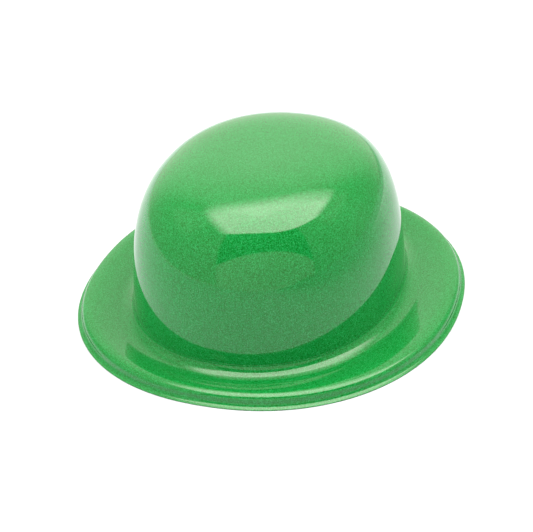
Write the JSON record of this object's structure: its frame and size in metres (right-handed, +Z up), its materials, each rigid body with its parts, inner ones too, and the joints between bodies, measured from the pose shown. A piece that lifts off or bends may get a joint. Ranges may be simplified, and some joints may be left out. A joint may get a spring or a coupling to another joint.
{
  "type": "bowler hat",
  "caption": "Glossy plastic bowler hat with a domed oval crown bonded to a guttered, rolled-edge brim and a foam sweatband taped inside the head opening.",
  "frame": {"origin": "middle of the oval brim, on the plane its lip stands on", "axes": "+Z up along the crown's axis, +Y to the back of the hat, +X to the wearer's left with the front towards -Y"},
  "size_m": [0.2584, 0.2746, 0.1038],
  "materials": {
    "green_plastic": "glossy pearl with fine flake",
    "foam": "fabric-faced foam",
    "tape": "double-sided tape"
  },
  "bodies": {
    "root": {"crown": "green_plastic", "brim": "green_plastic", "sweatband": "foam", "sweatband_tape": "tape"}
  },
  "joints": []
}
